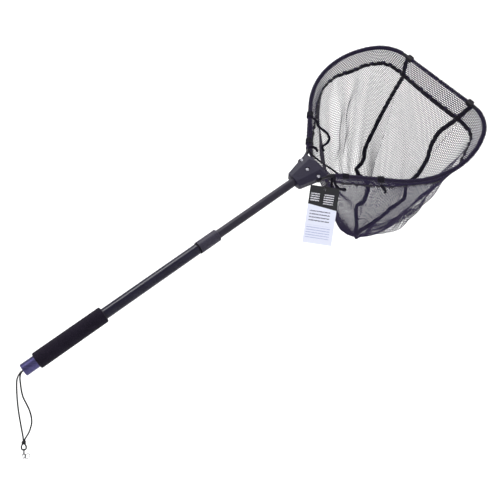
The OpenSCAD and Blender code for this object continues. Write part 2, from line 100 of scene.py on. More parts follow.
# ---------------------------------------------------------------- helpers
def mesh_piece(name, verts, faces, material=None, smooth=True):
    """A mesh object of an array of equal faces, or of a list of faces of several sizes."""
    me = bpy.data.meshes.new(name)
    verts = np.asarray(verts, np.float32).reshape(-1, 3)
    me.vertices.add(len(verts))
    me.vertices.foreach_set("co", verts.ravel())
    sizes = np.full(len(faces), faces.shape[1]) if isinstance(faces, np.ndarray) else [len(f) for f in faces]
    corners = faces.ravel() if isinstance(faces, np.ndarray) else np.concatenate(faces)
    me.loops.add(len(corners))
    me.loops.foreach_set("vertex_index", corners.astype(np.int32))
    me.polygons.add(len(faces))
    me.polygons.foreach_set("loop_start", (np.cumsum(sizes) - sizes).astype(np.int32))
    me.update(calc_edges=True)
    me.validate()
    me.polygons.foreach_set("use_smooth", np.full(len(me.polygons), smooth))
    o = bpy.data.objects.new(name, me)
    bpy.context.scene.collection.objects.link(o)
    if material:
        me.materials.append(material)
    return o


def curve_piece(name, points, diameter, material):
    """A round cord along a row of points."""
    cu = bpy.data.curves.new(name, "CURVE")
    cu.dimensions = "3D"
    sp = cu.splines.new("POLY")
    sp.points.add(len(points) - 1)
    for q, p in zip(sp.points, points):
        q.co = (*[float(c) for c in p], 1.0)
    cu.bevel_depth = diameter / 2
    cu.bevel_resolution = 3
    cu.use_fill_caps = True
    o = bpy.data.objects.new(name, cu)
    bpy.context.scene.collection.objects.link(o)
    cu.materials.append(material)
    return o


def through(a, b, c, d, u):
    """The point at share u of the way from b to c, on the smooth curve through a, b, c and d."""
    bend, twist = 2 * a - 5 * b + 4 * c - d, 3 * b - a - 3 * c + d
    return 0.5 * (2 * b + u * (c - a) + u**2 * bend + u**3 * twist)


def catmull(points, per_leg):
    """A smooth curve through the points, in per_leg steps from each to the next."""
    p = np.asarray(points, float)
    out = []
    for i in range(len(p) - 1):
        a, b, c, d = p[max(i - 1, 0)], p[i], p[i + 1], p[min(i + 2, len(p) - 1)]
        out += [through(a, b, c, d, k / per_leg) for k in range(per_leg)]
    out.append(p[-1])
    return np.array(out)


def run_of(points):
    """Distances along a row of points, from the first one."""
    return np.concatenate([[0], np.cumsum(np.linalg.norm(np.diff(points, axis=0), axis=1))])


def length_of(points):
    return float(run_of(points)[-1])


def along(distance, run, points):
    """Points at distances along a row of points that lie at the distances run."""
    return np.stack([np.interp(distance, run, points[:, k]) for k in range(3)], -1)


def frames_along(path, hint):
    """Unit tangents and two normals along a path, the first normal near hint."""
    t = unit(np.gradient(path, axis=0))
    a = unit(hint - t * (t @ hint)[:, None])
    return t, a, np.cross(t, a)


def tube_faces(rings, sides):
    """Quads between rings of corners, one row of quads for each two rings."""
    i, k = np.meshgrid(np.arange(rings - 1), np.arange(sides), indexing="ij")
    after = (k + 1) % sides
    return np.stack([i * sides + k, i * sides + after, (i + 1) * sides + after, (i + 1) * sides + k], -1)


def tube(path, radius, sides, hint, wobble=0.0, turns=0.0):
    """Vertices and quads of a tube along path; wobble twists lobes round it."""
    t, a, b = frames_along(path, hint)
    ang = 2 * np.pi * np.arange(sides) / sides
    r = radius * (1 + wobble * np.cos(3 * (ang[None, :] - turns * run_of(path)[:, None])))
    out = np.cos(ang)[None, :, None] * a[:, None, :] + np.sin(ang)[None, :, None] * b[:, None, :]
    v = path[:, None, :] + r[..., None] * out
    return v.reshape(-1, 3), tube_faces(len(path), sides).reshape(-1, 4)


# ---------------------------------------------------------------- materials
M = {}


def material(name, color, rough=0.5, metal=0.0, sheen=0.0, spec=0.5):
    m = bpy.data.materials.new(name)
    m.use_nodes = True
    b = m.node_tree.nodes["Principled BSDF"]
    b.inputs["Base Color"].default_value = (*color, 1)
    b.inputs["Roughness"].default_value = rough
    b.inputs["Metallic"].default_value = metal
    b.inputs["Sheen Weight"].default_value = sheen
    b.inputs["Specular IOR Level"].default_value = spec
    return m


def node(m, kind, **inputs):
    """A new node, with the values of some of its inputs."""
    n = m.node_tree.nodes.new(kind)
    for k, v in inputs.items():
        n.inputs[k.replace("_", " ")].default_value = v
    return n


def link(m, a, out, b, inp):
    m.node_tree.links.new(a.outputs[out], b.inputs[inp])


GRAINS = {"noise": ("ShaderNodeTexNoise", "Fac", {"Detail": 4.0, "Roughness": 0.6}),
          "cells": ("ShaderNodeTexVoronoi", "Distance", {}),
          "wave": ("ShaderNodeTexWave", "Fac", {"Distortion": 0.6, "Detail": 2.0})}


def finish(name, color, dark, light, scale, bump, depth=0.0002, grain="noise", polish=None,
           stretch=(1, 1, 1), **look):
    """A material mottled between two tones, with a bump of the same grain. polish is the span that
    its roughness takes."""
    m = M[name] = material(name, color, **look)
    b = m.node_tree.nodes["Principled BSDF"]
    tc = node(m, "ShaderNodeTexCoord")
    mp = node(m, "ShaderNodeMapping", Scale=stretch)
    link(m, tc, "Object", mp, "Vector")
    kind, out, values = GRAINS[grain]
    t = node(m, kind, Scale=scale, **values)
    link(m, mp, "Vector", t, "Vector")
    ramp = node(m, "ShaderNodeValToRGB")
    for element, at, tone in zip(ramp.color_ramp.elements, (0.3, 0.72), (dark, light)):
        element.position, element.color = at, (*tone, 1)
    link(m, t, out, ramp, "Fac")
    link(m, ramp, "Color", b, "Base Color")
    if polish:
        span = node(m, "ShaderNodeMapRange", To_Min=polish[0], To_Max=polish[1])
        link(m, t, out, span, "Value")
        link(m, span, "Result", b, "Roughness")
    bp = node(m, "ShaderNodeBump", Strength=bump, Distance=depth)
    link(m, t, out, bp, "Height")
    link(m, bp, "Normal", b, "Normal")


finish("foam", (0.006, 0.004, 0.01), (0.003, 0.002, 0.006), (0.012, 0.009, 0.018), 900, 0.55, depth=0.0004,
       grain="cells", rough=0.95, sheen=0.05, spec=0.1)
finish("cap_metal", (0.05, 0.045, 0.12), (0.038, 0.034, 0.1), (0.075, 0.07, 0.16), 60, 0.06, depth=0.0001,
       polish=(0.24, 0.38), stretch=(1, 8, 8), rough=0.26, metal=0.9, spec=0.4)
finish("lower_tube", (0.006, 0.005, 0.016), (0.004, 0.003, 0.012), (0.008, 0.007, 0.02), 25, 0.03,
       depth=0.0001, polish=(0.2, 0.34), rough=0.25, spec=0.2)
finish("upper_tube", (0.014, 0.012, 0.021), (0.011, 0.009, 0.017), (0.019, 0.016, 0.028), 30, 0.04,
       depth=0.0001, polish=(0.34, 0.5), rough=0.4, metal=0.2, spec=0.25)
finish("collar_plastic", (0.022, 0.019, 0.034), (0.018, 0.015, 0.028), (0.03, 0.026, 0.044), 260, 0.15,
       depth=0.0001, polish=(0.38, 0.55), rough=0.45, spec=0.2)
finish("seal_rubber", (0.004, 0.003, 0.006), (0.003, 0.002, 0.004), (0.007, 0.006, 0.01), 300, 0.2,
       rough=0.8, spec=0.1)
finish("nylon", (0.012, 0.011, 0.015), (0.009, 0.008, 0.012), (0.017, 0.016, 0.02), 200, 0.1, rough=0.55,
       spec=0.2)
finish("yoke_plastic", (0.011, 0.0095, 0.022), (0.009, 0.007, 0.018), (0.015, 0.013, 0.029), 420, 0.22,
       depth=0.00012, polish=(0.36, 0.52), rough=0.42, spec=0.18)
finish("rivet_steel", (0.45, 0.45, 0.5), (0.38, 0.38, 0.43), (0.52, 0.52, 0.58), 150, 0.05,
       polish=(0.18, 0.34), rough=0.25, metal=1.0)
finish("spring_steel", (0.5, 0.5, 0.52), (0.42, 0.42, 0.44), (0.55, 0.55, 0.57), 150, 0.05, rough=0.35,
       metal=1.0)
finish("arm_paint", (0.008, 0.007, 0.013), (0.006, 0.005, 0.01), (0.012, 0.01, 0.018), 60, 0.06,
       depth=0.0001, polish=(0.28, 0.44), rough=0.35, spec=0.25)
finish("tip_plastic", (0.006, 0.005, 0.009), (0.004, 0.003, 0.006), (0.01, 0.008, 0.013), 350, 0.2,
       polish=(0.42, 0.6), rough=0.5, spec=0.15)
finish("binding", (0.005, 0.004, 0.009), (0.003, 0.002, 0.006), (0.011, 0.009, 0.017), 900, 0.6,
       depth=0.0003, grain="wave", rough=0.9, sheen=0.08, spec=0.08)
finish("black_cord", (0.006, 0.005, 0.009), (0.004, 0.003, 0.006), (0.012, 0.01, 0.016), 800, 0.6,
       depth=0.0003, grain="wave", rough=0.85, sheen=0.08, spec=0.1)
finish("mesh_thread", (0.014, 0.009, 0.034), (0.009, 0.006, 0.024), (0.022, 0.014, 0.048), 500, 0.3,
       depth=0.0001, rough=0.8, sheen=0.03, spec=0.08)
# panel_thread is a lighter copy of the same net thread, for the far and front panels: painted light on those
# panels
finish("panel_thread", (0.024, 0.02, 0.034), (0.017, 0.014, 0.025), (0.034, 0.028, 0.046), 500, 0.3,
       depth=0.0001, rough=0.8, sheen=0.03, spec=0.08)
finish("lanyard_cord", (0.012, 0.012, 0.015), (0.007, 0.007, 0.009), (0.024, 0.024, 0.028), 1100, 0.6,
       grain="wave", rough=0.85, sheen=0.1, spec=0.1)
finish("clasp_metal", (0.12, 0.12, 0.13), (0.08, 0.08, 0.085), (0.2, 0.2, 0.21), 200, 0.04,
       polish=(0.1, 0.26), rough=0.18, metal=1.0)


def calc(m, op, a, b):
    """A math node of two values, each a number or another node's output."""
    n = m.node_tree.nodes.new("ShaderNodeMath")
    n.operation = op
    for i, v in enumerate((a, b)):
        if isinstance(v, (int, float)):
            n.inputs[i].default_value = v
        else:
            m.node_tree.links.new(v, n.inputs[i])
    return n.outputs[0]


TAG_HOLE, TAG_LEAN_DEG = (0.0343, -0.022, -0.0382), 8.5
CARD, HEADER = (0.60, 0.62, 0.73), (0.010, 0.010, 0.013)
# Rows of bars: left, right, lowest and highest edge in metres, pitch of the rows, share of the
# pitch that is bar, how much of a bar is broken away, and colour.
BODY_ROWS = (((-0.0240, 0.018, -0.068, -0.044), 0.0064, 0.40, 0.42, (0.12, 0.12, 0.16)),
             ((-0.0265, 0.022, -0.100, -0.074), 0.0052, 0.36, 0.38, (0.34, 0.37, 0.55)))
HEADER_ROWS = (((-0.0265, -0.0085, -0.026, -0.007), 0.0046, 0.5, 0.42, (0.55, 0.55, 0.60)),
               ((0.0005, 0.021, -0.029, -0.007), 0.0046, 0.5, 0.42, (0.55, 0.55, 0.60)))


def printed_card():
    """Card with a dark slanted header and rows of plain broken bars. The card's own frame has its
    hole at the origin, +X across and +Z up."""
    m = material("tag_card", CARD, 0.45, spec=0.3)
    b = m.node_tree.nodes["Principled BSDF"]
    tc = node(m, "ShaderNodeTexCoord")
    mp = m.node_tree.nodes.new("ShaderNodeMapping")
    mp.vector_type = "TEXTURE"
    mp.inputs["Location"].default_value = tuple(facing(TAG_HOLE))
    mp.inputs["Rotation"].default_value = (0, math.radians(TAG_LEAN_DEG), math.radians(TURN_DEG))
    link(m, tc, "Object", mp, "Vector")
    xyz = node(m, "ShaderNodeSeparateXYZ")
    link(m, mp, "Vector", xyz, "Vector")
    x, z = xyz.outputs["X"], xyz.outputs["Z"]
    breaks = node(m, "ShaderNodeTexNoise", Scale=420.0, Detail=1.0)
    stretch = node(m, "ShaderNodeMapping", Scale=(1, 0, 2.2))
    link(m, mp, "Vector", stretch, "Vector")
    link(m, stretch, "Vector", breaks, "Vector")

    def both(a, b):
        return calc(m, "MULTIPLY", a, b)

    def bars(edges, pitch, share, broken):
        x0, x1, z0, z1 = edges
        rows = calc(m, "DIVIDE", calc(m, "ADD", z, 1.0), pitch)
        rows = calc(m, "LESS_THAN", calc(m, "FRACT", rows, 0), share)
        wide = both(calc(m, "GREATER_THAN", x, x0), calc(m, "LESS_THAN", x, x1))
        high = both(calc(m, "GREATER_THAN", z, z0), calc(m, "LESS_THAN", z, z1))
        return both(both(rows, wide), both(high, calc(m, "GREATER_THAN", breaks.outputs["Fac"], broken)))

    def paint(under, mask, color):
        mix = m.node_tree.nodes.new("ShaderNodeMix")
        mix.data_type = "RGBA"
        m.node_tree.links.new(mask, mix.inputs["Factor"])
        if isinstance(under, tuple):
            mix.inputs["A"].default_value = (*under, 1)
        else:
            m.node_tree.links.new(under, mix.inputs["A"])
        mix.inputs["B"].default_value = (*color, 1)
        return mix.outputs["Result"]

    c = CARD
    for *rows, color in BODY_ROWS:
        c = paint(c, bars(*rows), color)
    slope, foot = 0.121, -0.0355
    c = paint(c, calc(m, "GREATER_THAN", calc(m, "ADD", z, calc(m, "MULTIPLY", x, slope)), foot), HEADER)
    for *rows, color in HEADER_ROWS:
        c = paint(c, bars(*rows), color)
    m.node_tree.links.new(c, b.inputs["Base Color"])
    grain = node(m, "ShaderNodeTexNoise", Scale=300.0, Detail=3.0)
    link(m, mp, "Vector", grain, "Vector")
    bp = node(m, "ShaderNodeBump", Strength=0.08, Distance=0.0002)
    link(m, grain, "Fac", bp, "Height")
    link(m, bp, "Normal", b, "Normal")
    return m


M["tag_card"] = printed_card()

slots = {s["node"]: s["material_slot"] for s in frame["record"]["subparts"]}
for name, obj in frame["nodes"].items():
    mat = M.get(slots.get(name))
    if mat is None:
        continue
    if obj.data.materials:
        for i in range(len(obj.data.materials)):
            obj.data.materials[i] = mat
    else:
        obj.data.materials.append(mat)

# ---------------------------------------------------------------- camera, studio, light
SIGHT = math.radians(-20.4)  # the camera's heading
RIGHT = np.array([math.cos(SIGHT), math.sin(SIGHT), 0])
BACK = np.array([math.sin(SIGHT), -math.cos(SIGHT), 0])
UP = np.array([0, 0, 1.0])
DEPTH, FOCAL, SENSOR = 1.345, 1.3, 36  # metres to the rivet; lens as a share of the sensor; mm
RIVET_RIGHT, RIVET_UP = 0.1138, 0.155  # where the rivet shows, from the middle of the view
cam_data = bpy.data.cameras.new("view")
cam_data.sensor_width = SENSOR
cam_data.lens = SENSOR * FOCAL
cam_data.clip_end = 50
cam = bpy.data.objects.new("view", cam_data)
bpy.context.scene.collection.objects.link(cam)
spot = RIVET + BACK * DEPTH - (RIGHT * RIVET_RIGHT + UP * RIVET_UP) * (DEPTH / FOCAL)
cam.matrix_world = Matrix([[RIGHT[i], UP[i], BACK[i], spot[i]] for i in range(3)] + [[0, 0, 0, 1]])
bpy.context.scene.camera = cam

paper = material("backdrop", (0.94, 0.94, 0.942), 0.95, spec=0.1)
centre = world([0.1, 0, 0])
sweep = []
# Height of the floor, and from the middle: the wall, the bend's radius, half the width, the near
# edge of the floor and the top of the wall.
FLOOR_Z, WALL, BEND, HALF, NEAR, TOP = -0.62, 2.6, 1.1, 7.0, -6.0, 7.0
quarter = np.linspace(0, math.pi / 2, 24)
bend = [(WALL - BEND + BEND * math.sin(a), BEND - BEND * math.cos(a)) for a in quarter]
profile = [(NEAR, 0.0), (-2.0, 0.0), *bend, (WALL, TOP)]
for d, h in profile:
    for side in (-HALF, HALF):
        p = np.array([centre[0], centre[1], 0]) - BACK * d + RIGHT * side
        sweep.append((p[0], p[1], FLOOR_Z + h))
strips = np.array([[2 * i, 2 * i + 1, 2 * i + 3, 2 * i + 2] for i in range(len(profile) - 1)])
backdrop = mesh_piece("backdrop", sweep, strips, paper)

bpy.context.scene.view_settings.view_transform = "Standard"
w = bpy.data.worlds.new("studio")
bpy.context.scene.world = w
w.use_nodes = True
w.node_tree.nodes["Background"].inputs["Color"].default_value = (1, 1, 1, 1)
w.node_tree.nodes["Background"].inputs["Strength"].default_value = 0.75


def area_light(name, at, towards, size, power, shine=1.0):
    """A square light; shine is the strength of its highlights."""
    l = bpy.data.lights.new(name, "AREA")
    l.shape, l.size, l.energy = "SQUARE", size, power
    l.specular_factor = shine
    o = bpy.data.objects.new(name, l)
    bpy.context.scene.collection.objects.link(o)
    o.location = Vector(at)
    o.rotation_euler = (Vector(towards) - Vector(at)).to_track_quat("-Z", "Y").to_euler()


aim = world([0.0, 0, -0.1])
area_light("key", aim + BACK * 1.2 + UP * 2.3 - RIGHT * 1.2, aim, 1.0, 62, 0.3)
area_light("fill", aim + BACK * 2.4 + RIGHT * 1.8 + UP * 0.4, aim, 2.0, 10)
area_light("wall", aim - BACK * 0.6 + UP * 2.8, aim - BACK * 2.5 + UP * 0.1, 3.0, 65)

# ---------------------------------------------------------------- hoop course, from the pivots out
ARM_LIFT, ARM_REACH = -0.005, 0.390  # how far an arm leaves the middle plane, and over what reach
# The left arm, from its pivot out: length of a straight leg, or radius (to the right if negative)
# and turn in degrees of a bend, and the number of steps.
ARM_LEGS = ((0.024, None, 4), (0.040, 22, 4), (0.120, None, 12), (-0.190, 75, 25), (-0.078, 61, 11))
ARM_START_DEG = 24


def arm_course():
    """The left arm's axis, flat in the middle plane."""
    pts, heading = [np.array([PIVOT_X, PIVOT_Y])], math.radians(ARM_START_DEG)
    for size, turn, steps in ARM_LEGS:
        start = pts[-1]
        if turn is None:
            ahead = np.array([math.cos(heading), math.sin(heading)])
            pts += [start + k * ahead for k in np.linspace(0, size, steps + 1)[1:]]
            continue
        centre_xy = start + size * np.array([-math.sin(heading), math.cos(heading)])
        ways = heading + math.copysign(math.radians(turn), size) * np.linspace(0, 1, steps + 1)[1:]
        pts += [centre_xy + size * np.array([math.sin(way), -math.cos(way)]) for way in ways]
        heading = ways[-1]
    return np.array(pts)


ARM = arm_course()
ARM_RUN = run_of(ARM)
ARM_LEN = ARM_RUN[-1]
TIP = ARM[-1]


def arm_at(d, side=1):
    """Points on an arm's axis, at distances d from its pivot, in the net's frame."""
    x, y = np.interp(d, ARM_RUN, ARM[:, 0]), np.interp(d, ARM_RUN, ARM[:, 1])
    return np.stack([x, side * y, side * ARM_LIFT * (x - PIVOT_X) / ARM_REACH], -1)


# ---------------------------------------------------------------- the bag, hung by a cloth simulation
NS, NT = 120, 30  # points round the rim, and steps from the rim to the bottom
LOW = np.array([0.200, 0, -0.425])  # the bottom of the bag before it hangs
HANG = 0.034  # where the net starts on each arm, from the pivot
MOUTH_START = np.array([[0.037, 0, -0.006]])  # the middle of the rim at the yoke
half_run = np.linspace(HANG, ARM_LEN, 400)
outline = np.concatenate([MOUTH_START, arm_at(half_run, 1), arm_at(half_run[::-1], -1), MOUTH_START])
outline[:, 2] -= 0.0035
rim_run = run_of(outline)
RIM_LEN = rim_run[-1]


def rim_at(s):
    """Points of the rim at shares s of the way round it."""
    return along(np.mod(s, 1.0) * RIM_LEN, rim_run, outline)


def bag_grid():
    """The bag as it is before it hangs: rows from the rim down, then the bottom point. It stays wide
    under the front cord and draws in quickly at the yoke and along the right arm."""
    base = rim_at(np.arange(NS) / NS)
    mid = np.array([LOW[0], 0])
    yoke_side = np.clip((LOW[0] - base[:, 0]) / 0.13, 0, 1)
    right_side = 0.8 * np.clip(-base[:, 1] / 0.13, 0, 1)
    quick = np.maximum(yoke_side, right_side)[:, None]
    rows = []
    for j in range(NT + 1):
        t = j / NT
        spread = (1 - quick) * (1 - t**2) + quick * (1 - t) ** 0.9
        p = np.empty((NS, 3))
        p[:, :2] = mid * (1 - t) + LOW[:2] * t + (base[:, :2] - mid) * spread
        p[:, 2] = base[:, 2] * (1 - t) + (LOW[2] + 0.010) * math.sin(t * math.pi / 2)
        rows.append(p)
    return np.array(rows)


SETTLED = 81  # the frame at which the cloth has come to rest


def hang(grid):
    """The bag's grid as it hangs from its rim, from a cloth simulation."""
    verts = np.concatenate([world(grid[:NT].reshape(-1, 3)), world(grid[NT, :1])])
    last = (NT - 1) * NS
    faces = list(tube_faces(NT, NS).reshape(-1, 4))
    faces += [np.array([last + i, last + (i + 1) % NS, NT * NS]) for i in range(NS)]
    o = mesh_piece("bag_sim", verts, faces)
    o.vertex_groups.new(name="pin").add(list(range(NS)), 1.0, "REPLACE")
    mod = o.modifiers.new("cloth", "CLOTH")
    st = mod.settings
    st.quality, st.mass, st.air_damping = 8, 0.002, 2
    st.tension_stiffness, st.compression_stiffness = 8, 4
    st.shear_stiffness, st.bending_stiffness = 1, 0.5
    st.vertex_group_mass = "pin"
    mod.collision_settings.use_self_collision = False
    mod.point_cache.frame_end = 90
    sc = bpy.context.scene
    for f in range(1, SETTLED):
        sc.frame_set(f)
    ev = o.evaluated_get(bpy.context.evaluated_depsgraph_get())
    me = ev.to_mesh()
    co = np.empty(len(me.vertices) * 3, np.float32)
    me.vertices.foreach_get("co", co)
    ev.to_mesh_clear()
    sc.frame_set(1)
    bpy.data.objects.remove(o)
    co = co.reshape(-1, 3).astype(float)
    out = np.empty((NT + 1, NS, 3))
    out[:NT] = co[:-1].reshape(NT, NS, 3)
    out[NT] = co[-1]
    return out


def eased(grid, rounds):
    """The hung grid with its smallest creases taken out, most of all in the taut front panel; the
    rim and the bottom stay put."""
    g = grid.copy()
    taut = np.exp(-(((np.arange(NS) / NS - 0.5) / 0.085) ** 4))[None, :, None]
    for _ in range(25):
        level = (np.roll(g[1:NT], 1, axis=1) + 2 * g[1:NT] + np.roll(g[1:NT], -1, axis=1)) / 4
        g[1:NT] += taut * (level - g[1:NT])
    for _ in range(rounds):
        g[1:NT] = (np.roll(g[1:NT], 1, axis=1) + 2 * g[1:NT] + np.roll(g[1:NT], -1, axis=1)) / 4
        g[1:NT] = (g[:NT - 1] + 2 * g[1:NT] + g[2:]) / 4
    return g


def folded(grid):
    """Soft upright folds in the panel beside the left arm and in the one beside the right arm, and
    the bottom drawn down to a point where the two cross tapes meet."""
    ds = np.roll(grid, -1, axis=1) - np.roll(grid, 1, axis=1)
    nrm = unit(np.cross(ds, np.gradient(grid, axis=0)))
    s = np.arange(NS)[None, :] / NS
    t = np.arange(NT + 1)[:, None] / NT
    lift = np.zeros((NT + 1, NS))
    for at, lean, wide, high in FOLDS:
        swell = np.sin(np.pi * np.clip((t - 0.07) / 0.8, 0, 1)) ** 0.7
        lift += high * np.exp(-(((s - at - lean * t) / wide) ** 2)) * swell
    lean_to = nrm + 0.7 * unit(ds)
    drawn = (t**4)[..., None] * (RIGHT * 0.008 - UP * 0.022)
    return grid + lean_to * lift[..., None] + drawn


# Each fold: where it starts round the rim, how far it leans on its way down, its width as a share of
# the rim, and its height in metres.
FOLDS = ((0.215, 0.02, 0.011, 0.018), (0.262, 0.02, 0.011, 0.022), (0.305, 0.0, 0.010, 0.019),
         (0.345, 0.0, 0.009, 0.010), (0.655, 0.0, 0.010, 0.016), (0.705, -0.01, 0.011, 0.018),
         (0.87, 0.0, 0.012, 0.012))
FAR_FROM, FAR_ROOM = 0.19, 0.15  # where the far side starts, and the room it has beyond that


def gathered(grid):
    """Eases the far side of the bag towards the camera along the lines of sight, into the space
    that the bag's plain solid holds. Its outline in the view stays as it is."""
    past = np.maximum(grid[..., 1] - FAR_FROM, 0)
    y = np.minimum(grid[..., 1], FAR_FROM) + FAR_ROOM * np.tanh(past / FAR_ROOM)
    share = (y - spot[1]) / (grid[..., 1] - spot[1])
    return spot + (grid - spot) * share[..., None]


BAG = gathered(folded(eased(hang(bag_grid()), 2)))


def bag_at(s, t):
    """Points of the hung bag; s is the share round the rim, t the share of the way down."""
    s, t = np.asarray(s, float) % 1.0 * NS, np.clip(np.asarray(t, float), 0, 1) * NT
    i, j = np.floor(s).astype(int), np.minimum(np.floor(t).astype(int), NT - 1)
    u, v = s - i, t - j

    def row(jj):
        jj = np.clip(jj, 0, NT)
        return through(*(BAG[jj, (i + k) % NS] for k in (-1, 0, 1, 2)), u[..., None])

    p0, p1 = row(j), row(j + 1)
    pa = np.where((j == 0)[..., None], 2 * p0 - p1, row(j - 1))
    pd = np.where((j == NT - 1)[..., None], 2 * p1 - p0, row(j + 2))
    return through(pa, p0, p1, pd, v[..., None])


def bag_normal(s, t, step=0.002):
    """Unit normals of the hung bag."""
    ds = bag_at(s + step, t) - bag_at(s - step, t)
    dt = bag_at(s, np.clip(t + step, 0, 1)) - bag_at(s, np.clip(t - step, 0, 1))
    return unit(np.cross(ds, dt))


# ---------------------------------------------------------------- knitted mesh
# Width of a cell and size of its threads, in metres.
CELL, THREAD = 0.0042, 0.00072
NEAR_CELL, NEAR_THREAD = 0.0050, 0.00086
SKIRT_CELL, SKIRT_THREAD = 0.0048, 0.00112
FLAT, THIN = 1.15, 0.45  # half the width and half the thickness of a thread, as shares of its size


def hex_strands(width_at, length, cell):
    """Strands of a hexagonal mesh on a flat panel that narrows: end points as (x, y), x from the
    middle line, y down from the top edge."""
    side = cell / math.sqrt(3)
    rows = int(length / (1.5 * side)) + 1
    widest = max(width_at(y) for y in np.linspace(0, length, 20))
    half = int(widest / 2 / cell) + 2
    j, i = np.meshgrid(np.arange(rows + 1), np.arange(-half, half + 1), indexing="ij")
    x = (i + 0.5 * (j % 2)) * cell
    y = j * 1.5 * side
    top, low = np.stack([x, y - side / 2], -1), np.stack([x, y + side / 2], -1)
    down = np.stack([top, low], -2)
    slant_l = np.stack([low, np.stack([x - cell / 2, y + side], -1)], -2)
    slant_r = np.stack([low, np.stack([x + cell / 2, y + side], -1)], -2)
    return np.concatenate([a.reshape(-1, 2, 2) for a in (down, slant_l, slant_r)])


def panel_map(s0, s1, t0, t1):
    """Flat size of a panel of the bag and the map from its flat cut to the hung bag."""
    ss, ts = np.linspace(s0, s1, 81), np.linspace(t0, t1, 61)
    g = bag_at(*np.meshgrid(ss, ts))
    widths = np.linalg.norm(np.diff(g, axis=1), axis=2).sum(1)
    widths = np.convolve(np.pad(widths, 3, mode="edge"), np.ones(7) / 7, mode="valid")
    downs = np.linalg.norm(np.diff(g, axis=0), axis=2)
    down = np.concatenate([[0], np.cumsum(downs.mean(1))])
    length = down[-1]

    def width_at(y):
        return np.interp(y, down, widths)

    def place(xy, normals=False):
        t = np.interp(xy[..., 1], down, ts)
        wd = np.maximum(width_at(xy[..., 1]), 1e-5)
        s = s0 + (s1 - s0) * np.clip(xy[..., 0] / wd + 0.5, 0, 1)
        return bag_normal(s, t) if normals else bag_at(s, t)

    return width_at, length, place


def thread_mesh(name, ends, radius, mat, normal):
    """Open three-sided prisms along strands given as (n, k, 3) points, flattened across the normal
    of the cloth, as a knitted strand of several filaments lies."""
    n, k = ends.shape[:2]
    t = unit(ends[:, -1] - ends[:, 0])
    a = unit(np.cross(t, normal))
    b = np.cross(a, t)
    ang = np.pi / 2 + 2 * np.pi * np.arange(3) / 3
    wide = FLAT * np.cos(ang)[None, :, None] * a[:, None, :]
    off = radius * (wide + THIN * np.sin(ang)[None, :, None] * b[:, None, :])
    v = ends[:, :, None, :] + off[:, None, :, :]
    first = (np.arange(n) * k * 3)[:, None, None]
    f = tube_faces(k, 3).reshape(1, -1, 4) + first
    return mesh_piece(name, v.reshape(-1, 3), f.reshape(-1, 4), mat)


def knit(name, s0, s1, t0, t1, mat, cell, radius):
    """A panel of mesh, as one piece for each side of the net's middle plane. A side that would hold
    under a twentieth of it joins the other. Each piece comes with its side, its cut area and the
    width and length of its cut."""
    width_at, length, place = panel_map(s0, s1, t0, t1)
    st = hex_strands(width_at, length, cell)
    across = (np.abs(st[..., 0]) <= width_at(st[..., 1]) / 2).any(1)
    inside = across & ((st[..., 1] >= 0) & (st[..., 1] <= length)).any(1)
    pts = place(st[inside])
    normal = place(st[inside].mean(1), normals=True)
    side = local(pts.mean(1))[:, 1] >= 0
    if not 0.05 < side.mean() < 0.95:
        side[:] = side.mean() > 0.5
    cut = length * float(np.mean([width_at(y) for y in np.linspace(0, length, 60)]))
    made = []
    for tag, pick in (("left", side), ("right", ~side)):
        if not pick.any():
            continue
        o = thread_mesh(f"{name}_{tag}", pts[pick], radius, mat, normal[pick])
        made.append((o, tag, cut * pick.mean(), (width_at(0) * pick.mean(), length)))
    return made


def with_arm(o, tag):
    """Bakes a soft piece's place into its mesh."""
    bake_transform(o)


def s_of(x, y):
    """Share round the rim of the point of the outline nearest to (x, y)."""
    k = np.argmin((outline[:, 0] - x) ** 2 + (outline[:, 1] - y) ** 2)
    return rim_run[k] / RIM_LEN


S_LEFT, S_RIGHT = s_of(TIP[0], TIP[1]), s_of(TIP[0], -TIP[1])
T_RING = 0.066  # how far down the ring tape is sewn, where the skirt ends
bag_pieces = []
for part, s0, s1, t0, t1, mat in (
    ("skirt_near", S_RIGHT - 1, 0.0, 0, T_RING, "mesh_thread"),
    ("skirt_far", 0.0, S_LEFT, 0, T_RING, "mesh_thread"),
    ("skirt_front", S_LEFT, S_RIGHT, 0, T_RING, "mesh_thread"),
    ("panel_near", S_RIGHT - 1, 0.0, T_RING, 1, "mesh_thread"),
    # the far and front panels take the lighter panel_thread, painted light; the near panel keeps mesh_thread
    ("panel_far", 0.0, S_LEFT, T_RING, 1, "panel_thread"),
    ("panel_front", S_LEFT, S_RIGHT, T_RING, 1, "panel_thread"),
):
    cell, radius = (NEAR_CELL, NEAR_THREAD) if part == "panel_near" else (CELL, THREAD)
    if part.startswith("skirt"):
        cell, radius = SKIRT_CELL, SKIRT_THREAD
    for o, tag, area, flat in knit(part, s0, s1, t0, t1, M[mat], cell, radius):
        with_arm(o, tag)
        bag_pieces.append((part, tag, o, area, flat))
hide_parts("net_skirt", "net_bag")


# ---------------------------------------------------------------- binding tapes
def ribbon(name, st, across, thick, mat, rows=5):
    """A tape along the path st of (s, t) shares on the bag, across metres wide."""
    mid = bag_at(st[:, 0], st[:, 1])
    nrm = bag_normal(st[:, 0], st[:, 1])
    side = unit(np.cross(nrm, unit(np.gradient(mid, axis=0))))
    run = run_of(mid)
    pucker = 0.0011 * np.sin(run * 420) + 0.0009 * np.sin(run * 257 + 1)
    cols = []
    for k in range(rows):
        u = k / (rows - 1) - 0.5
        cols.append(mid + side * (across * u) + nrm * (pucker * (2 * abs(u)))[:, None])
    g = np.stack(cols, 1)
    up, low = g + nrm[:, None] * thick / 2, g - nrm[:, None] * thick / 2
    ring = np.concatenate([up, low[:, ::-1]], 1)
    inside_out = tube_faces(len(mid), 2 * rows).reshape(-1, 4)
    return mesh_piece(name, ring.reshape(-1, 3), inside_out[:, [0, 3, 2, 1]], mat)


def soft(values, width):
    """Rounds the corners of a row of values."""
    pad = np.pad(values, width, mode="edge")
    return np.convolve(pad, np.ones(2 * width + 1) / (2 * width + 1), mode="valid")


